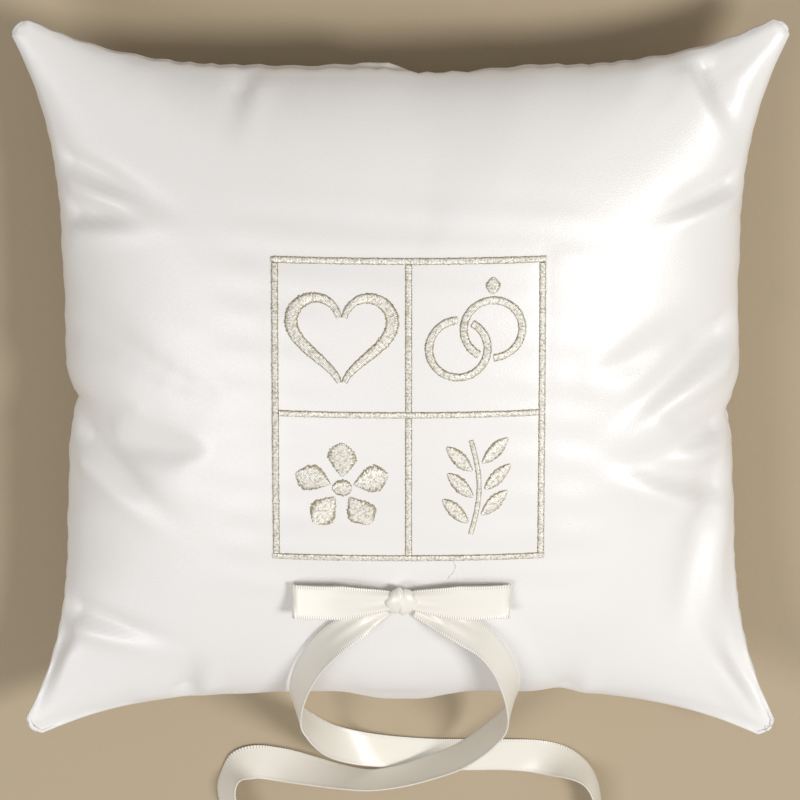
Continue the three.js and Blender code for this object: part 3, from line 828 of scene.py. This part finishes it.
def pane(column, row):
    """The middle of one pane; column and row are -1 or 1."""
    return (
        FRAME_CENTRE[0] + column * (FRAME_SIZE[0] - BAR) / 4,
        FRAME_CENTRE[1] + row * (FRAME_SIZE[1] - BAR) / 4,
    )


def loose_end():
    """A hair of thread left hanging below the frame."""
    drop = np.linspace(0, 1, 24)
    x = 14 + 0.9 * np.sin(drop * 4) - 0.6 * drop
    y = FRAME_CENTRE[1] - FRAME_SIZE[1] / 2 - 5.5 * drop
    points = [on_cover(a, b)[0] + (0, 0, 0.25) for a, b in zip(x, y)]
    return thread_parts(points, 0.07, 5)


def make_frame_bars():
    """The frame, whose level bars run over its corners, and the bars between its panes."""
    cx, cy = FRAME_CENTRE
    left, right = cx - (FRAME_SIZE[0] - BAR) / 2, cx + (FRAME_SIZE[0] - BAR) / 2
    low, high = cy - (FRAME_SIZE[1] - BAR) / 2, cy + (FRAME_SIZE[1] - BAR) / 2
    outer, inner = BAR / 2, BAR / 2 + 0.05
    runs = {
        "border_top": straight(left - outer, high, right + outer, high),
        "border_bottom": straight(left - outer, low, right + outer, low),
        "border_left": straight(left, low + inner, left, high - inner),
        "border_right": straight(right, low + inner, right, high - inner),
        "divider_across": straight(left + inner, cy, right - inner, cy),
        "divider_upper": straight(cx, cy + inner, cx, high - inner),
        "divider_lower": straight(cx, low + inner, cx, cy - inner),
    }
    for node, run in runs.items():
        extra = loose_end() if node == "border_bottom" else None
        stitched_piece(node, run, even(BAR), extra=extra)


def make_heart():
    """Two halves that meet, nearly, at the notch and at the point."""
    cx, cy = pane(-1, 1)
    end = 0.12  # angle left out where the two halves meet
    scale = 0.8
    for hand, node in ((-1, "heart_left_side"), (1, "heart_right_side")):

        def path(t, hand=hand):
            a = end + (math.pi - 2 * end) * t
            x = 16 * np.sin(a) ** 3 + 0.9
            y = 13 * np.cos(a) - 5 * np.cos(2 * a) - 2 * np.cos(3 * a) - np.cos(4 * a)
            return cx + hand * scale * x, cy + 1.6 + scale * y

        stitched_piece(node, path, swelling(1.5, 2.1))


def make_rings():
    """Each ring is left open where it passes under the other."""
    cx, cy = pane(1, 1)
    radius, band, offset_x, offset_y = 7.8, 2.2, 4.6, 2.6
    turn = math.acos(math.hypot(offset_x, offset_y) / radius)
    tilt = math.atan2(offset_y, offset_x)
    spare = (band / 2 + 0.6) / radius
    crossing_left = tilt + turn
    rings = ((-1, "ring_left", crossing_left), (1, "ring_right", crossing_left + math.pi))
    for hand, node, crossing in rings:

        def path(t, hand=hand, crossing=crossing):
            a = crossing + 1.25 * spare + (2 * math.pi - 2.5 * spare) * t
            return cx + hand * offset_x + radius * np.cos(a), cy + hand * offset_y + radius * np.sin(a)

        stitched_piece(node, path, even(band))
    gem_y = cy + offset_y + radius + band / 2 + 0.6
    gem = straight(cx + offset_x, gem_y, cx + offset_x, gem_y + 4.2)
    stitched_piece("ring_gem", gem, lens(4.0))


def make_blossom():
    """Petals round an eye, wider towards their outer ends."""
    cx, cy = pane(-1, -1)
    petals, near, far, eye = 5, 3.4, 12.8, 2.5
    for petal in range(petals):
        a = math.pi / 2 + 2 * math.pi * petal / petals
        x, y = math.cos(a), math.sin(a)
        run = straight(cx + near * x, cy + near * y, cx + far * x, cy + far * y)
        stitched_piece(f"blossom_petal_{petal + 1}", run, lens(8.0, lean=1.3), slant=0.12)
    stitched_piece("blossom_eye", straight(cx - eye, cy, cx + eye, cy), disc(eye))


def make_sprig():
    """A bowed stem with leaves in pairs, the right one a little higher."""
    cx, cy = pane(1, -1)

    def stem(t):
        return cx + 2.2 * np.sin(math.pi * t) - 1.1, cy - 13.5 + 27 * t

    stitched_piece("sprig_stem", stem, even(1.3))
    reach = 9.5 * math.sqrt(0.5)
    for pair in range(3):
        for hand, name, shift in ((-1, "left", 0.45), (1, "right", 0.75)):
            x, y = stem((pair + shift) / 3.6)
            x0 = x + hand * 1.6
            leaf = straight(x0, y, x0 + hand * reach, y + reach)
            stitched_piece(f"sprig_leaf_{name}_{pair + 1}", leaf, lens(4.2), slant=0.3 * hand)


# ---------------------------------------------------------------- ribbon
def smooth_route(rows, per_span=24):
    """A Catmull-Rom curve through rows of numbers."""
    rows = np.asarray(rows, float)
    rows = np.vstack([2 * rows[0] - rows[1], rows, 2 * rows[-1] - rows[-2]])
    t = (np.arange(per_span) / per_span)[:, None]
    spans = []
    for neighbours in zip(rows, rows[1:], rows[2:], rows[3:]):
        spans.append(cubic(*neighbours, t))
    return np.vstack(spans + [rows[-2:-1]])


def even_steps(rows, step):
    """The same curve with rows at an even spacing along it."""
    length = np.concatenate([[0], np.cumsum(np.linalg.norm(np.diff(rows[:, :3], axis=0), axis=1))])
    count = int(length[-1] / step)
    at = np.linspace(0, length[-1], count + 1)
    return np.stack([np.interp(at, length, rows[:, k]) for k in range(rows.shape[1])], axis=1), at


def ribbon_object(name, middle, side, width, relief, at):
    """A flat ribbon with thicker, ticked selvages.

    relief(share, at) lifts the ribbon off its middle plane, in mm; share runs from -1 to 1."""
    half = RIBBON_WIDTH / 2
    inner = np.linspace(-(half - SELVAGE - 0.2), half - SELVAGE - 0.2, 9)
    rim = np.array([half - SELVAGE, half - 0.6 * SELVAGE, half - 0.25 * SELVAGE, half])
    columns = np.concatenate([-rim[::-1], inner, rim]) / half
    along = unit(np.gradient(middle, axis=0))
    side = unit(side - np.sum(side * along, axis=1, keepdims=True) * along)
    normal = np.cross(along, side)
    share = columns[None, :] * np.ones((len(middle), 1))
    tick = np.cos(2 * math.pi * at / TICK)[:, None]
    on_edge = np.clip((np.abs(share) * half - (half - SELVAGE)) / 0.15, 0, 1)
    reach = share * width[:, None] / 2 * (1 + 0.012 * tick * (np.abs(share) > 0.99))
    thick = RIBBON_THICKNESS / 2 + on_edge * (0.05 + 0.05 * tick)
    lift = relief(share, at[:, None] + 0 * share)
    sheet = middle[:, None] + side[:, None] * reach[..., None] + normal[:, None] * lift[..., None]
    top = sheet + normal[:, None] * thick[..., None]
    bottom = sheet - normal[:, None] * thick[..., None]
    uv = np.stack([(share + 1) * half, at[:, None] + 0 * share], axis=-1).reshape(-1, 2)
    points = np.concatenate([top.reshape(-1, 3), bottom.reshape(-1, 3)])
    return make_object(name, points, slab_faces(*share.shape), RIBBON, uv=np.concatenate([uv, uv]))


def make_tail(node, route, phase):
    """One tail, gathered where it leaves the knot; phase shifts its small waves."""
    rows, at = even_steps(smooth_route(route), RIBBON_STEP)
    middle, side = rows[:, :3], unit(rows[:, 3:])
    width = RIBBON_WIDTH * (0.62 + 0.38 * np.clip(at / 16, 0, 1) ** 0.7)

    def relief(share, at):
        pleat = 0.5 * np.cos(2.6 * math.pi * share + phase) * np.clip(1 - at / 24, 0, 1) ** 1.6
        cup = 0.18 * np.sin(at / 23 + phase) * (share ** 2 - 0.3)
        return pleat + cup + 0.12 * np.sin(at / 7.5 + phase + share)

    obj = ribbon_object(f"{node}_ribbon", middle, side, width, relief, at)
    cut_end(obj, middle[-1], middle[-1] - middle[-20], side[-1])
    return finish_piece(obj, node)


def cut_end(obj, tip, along, side):
    """Shears the last few millimetres of a tail, so that its end is cut at a slant."""
    along = unit(along)
    for vertex in obj.data.vertices:
        offset = np.array(vertex.co) / MM - tip
        back = -offset @ along
        if -0.5 < back < CUT_REACH and np.linalg.norm(offset) < CUT_REACH + 4:
            share = (offset @ side) / RIBBON_WIDTH + 0.5
            shift = -CUT_SLANT * share * (1 - max(back, 0) / CUT_REACH)
            vertex.co += Vector(along * shift * MM)


def loop_stops():
    """How far out, how high off the cover and how far up it each stop of a loop lies."""
    shares = [stop / 8 for stop in range(9)]
    below = LOOP_REACH - 1.1 - LOOP_START
    above = LOOP_REACH - 1.8 - LOOP_START
    under = [(LOOP_START + below * s, 2.9 - 0.8 * s, -0.3 - 0.9 * s) for s in shares]
    end = [(LOOP_REACH - 0.1, 2.4, -1.1), (LOOP_REACH, 2.9, -0.9), (LOOP_REACH - 0.5, 3.4, -0.6)]
    over = [
        (LOOP_START + above * s, 3.8 + 0.8 * math.sin(math.pi * s), 0.5 - 0.9 * s)
        for s in reversed(shares)
    ]
    return under + end + over


def loop_row(hand, reach, lift, up):
    """One row of a loop's route: the ribbon's middle, then the way its width points."""
    x, y = np.array(hand * reach), np.array(BOW_Y + up)
    normal = front_normal(x, y)
    place = np.array([x, y, front_height(x, y)]) + normal * lift
    uphill = np.cross(normal, [1, 0, 0])
    facing = normal * math.cos(LOOP_TURN) + uphill * math.sin(LOOP_TURN)
    return [*place, *unit(np.cross(facing, [hand, 0, 0]))]


def make_loop(hand, node):
    """A flat loop: out from the knot on the cover, round its end, and back above."""
    route = [loop_row(hand, *stop) for stop in loop_stops()]
    rows, at = even_steps(smooth_route(route), RIBBON_STEP)
    middle, side = rows[:, :3], unit(rows[:, 3:])
    out = (np.abs(middle[:, 0]) - LOOP_START) / (LOOP_REACH - LOOP_START)
    width = RIBBON_WIDTH * (0.5 + 0.5 * np.clip(out / 0.5, 0, 1) ** 0.75)
    width *= np.where(at < at[-1] / 2, LOOP_UNDER, 1)
    pinch = np.clip(1 - out / 0.75, 0, 1)[:, None] ** 1.4

    def relief(share, at):
        fold = 0.6 * np.cos(1.7 * math.pi * share + 0.9 * hand)
        return pinch * fold + 0.12 * (share ** 2 - 0.3) * np.sin(at / 6)

    obj = ribbon_object(f"{node}_ribbon", middle, side, width, relief, at)
    return finish_piece(obj, node)


def seat_on_cover(points):
    """Moves points made about the origin to the bow's place, square to the cover."""
    origin = np.array([0.0, BOW_Y, float(front_height(np.array(0.0), np.array(BOW_Y)))])
    up = front_normal(np.array(0.0), np.array(BOW_Y))
    right = np.array([1.0, 0, 0])
    forward = np.cross(up, right)
    return origin + points[:, :1] * right + points[:, 1:2] * forward + points[:, 2:] * up


def make_knot():
    """The ribbon's wrap round the middle, gathered into folds that run over it."""
    rows, columns = 60, 96
    t = np.linspace(-1, 1, rows)[:, None] * 0.97
    turn = (2 * math.pi * np.arange(columns) / columns)[None, :]
    girth = (1 - np.abs(t) ** 2.6) ** 0.42
    waist = 1 - 0.2 * np.abs(np.cos(turn)) ** 3
    fold = 0.05 * np.cos(6.5 * t + 1.4 * np.cos(turn)) + 0.02 * np.cos(13 * t + 2.2 * np.cos(turn))
    crease = 0.09 * np.exp(-(((t + 0.05 - 0.22 * np.cos(turn)) / 0.06) ** 2))
    size = girth * (1 + (fold - crease))
    x = KNOT[0] / 2 * t * waist + 0 * turn
    y = KNOT[1] / 2 * size * np.cos(turn)
    z = KNOT[2] / 2 * size * np.sin(turn) + KNOT_LIFT + KNOT[2] / 2
    points = seat_on_cover(np.stack([x, y, z], axis=-1).reshape(-1, 3))
    uv = np.stack([1.6 + 6 * (t + 1) / 2 + 0 * turn, turn * 2 + 0 * t], axis=-1).reshape(-1, 2)
    obj = make_object("bow_knot_wrap", points, tube_faces(rows, columns), RIBBON, uv=uv)
    return finish_piece(obj, "bow_knot")


def make_tack():
    """Two short bars of thread that catch the ribbon under the knot."""
    parts = []
    for shift in (-0.25, 0.25):
        line = np.linspace((-1.9, shift, 0.45), (1.9, -shift, 0.45), 9)
        line[:, 2] += 0.35 * np.sin(np.linspace(0, math.pi, 9))
        parts.append(thread_parts(line, 0.18))
    points, faces = joined(parts)
    obj = make_object("bow_tack_thread", seat_on_cover(points), faces, SEWING)
    return finish_piece(obj, "bow_tack")


# ---------------------------------------------------------------- build
make_filling()
make_backing()
make_seam_threads()
make_closing_stitches()
make_frame_bars()
make_heart()
make_rings()
make_blossom()
make_sprig()
make_knot()
make_tack()
make_loop(-1, "bow_loop_left")
make_loop(1, "bow_loop_right")
make_tail("ribbon_tail_left", LEFT_TAIL, 0.4)
make_tail("ribbon_tail_right", RIGHT_TAIL, 2.1)


# ---------------------------------------------------------------- camera, floor and light
VIEW_TILT = math.radians(18)  # off the vertical, towards the pillow's top edge
VIEW_DISTANCE = 1.5  # metres
VIEW_WIDTH = 0.2182  # metres across the picture, at the target
SENSOR = 36.0
VIEW_TARGET = Vector((-0.0003, -0.0046, 0.026))  # metres
FLOOR_REACH = 3000.0


def make_camera():
    data = bpy.data.cameras.new("camera")
    data.sensor_width = SENSOR
    data.lens = SENSOR * VIEW_DISTANCE / VIEW_WIDTH
    data.clip_start = 0.1
    data.clip_end = 20
    camera = bpy.data.objects.new("camera", data)
    towards_viewer = Vector((0, math.sin(VIEW_TILT), math.cos(VIEW_TILT)))
    camera.location = VIEW_TARGET + towards_viewer * VIEW_DISTANCE
    camera.rotation_euler = (-VIEW_TILT, 0, 0)
    bpy.context.scene.collection.objects.link(camera)
    bpy.context.scene.camera = camera


def make_floor():
    material, tree, shader = new_material("floor", (0.47, 0.385, 0.265), 0.75)
    bump(tree, shader, noise_node(tree, 900, 2), 0.15, 0.0003)
    corners = ((-1, -1), (1, -1), (1, 1), (-1, 1))
    points = [(x * FLOOR_REACH, y * FLOOR_REACH, 0) for x, y in corners]
    make_object("floor", points, [[0, 1, 2, 3]], material, smooth=False)


def area_light(name, place, size, power, color):
    """A round light that points at the middle of the view."""
    data = bpy.data.lights.new(name, "AREA")
    data.shape = "DISK"
    data.size = size
    data.energy = power
    data.color = color
    light = bpy.data.objects.new(name, data)
    light.location = place
    light.rotation_euler = (Vector(place) - VIEW_TARGET).to_track_quat("Z", "Y").to_euler()
    bpy.context.scene.collection.objects.link(light)


def make_light():
    """A strong light from the right, a weaker one from the left, and an even room."""
    area_light("key", (0.75, -0.02, 1.15), 0.42, 10, (1, 0.985, 0.96))
    area_light("fill", (-0.7, -0.4, 1.2), 0.7, 6, (1, 0.98, 0.97))
    world = bpy.data.worlds.new("studio")
    world.use_nodes = True
    background = world.node_tree.nodes["Background"]
    background.inputs["Color"].default_value = (1, 0.985, 0.97, 1)
    background.inputs["Strength"].default_value = 0.34
    bpy.context.scene.world = world
    bpy.context.scene.view_settings.view_transform = "Standard"


make_camera()
make_floor()
make_light()
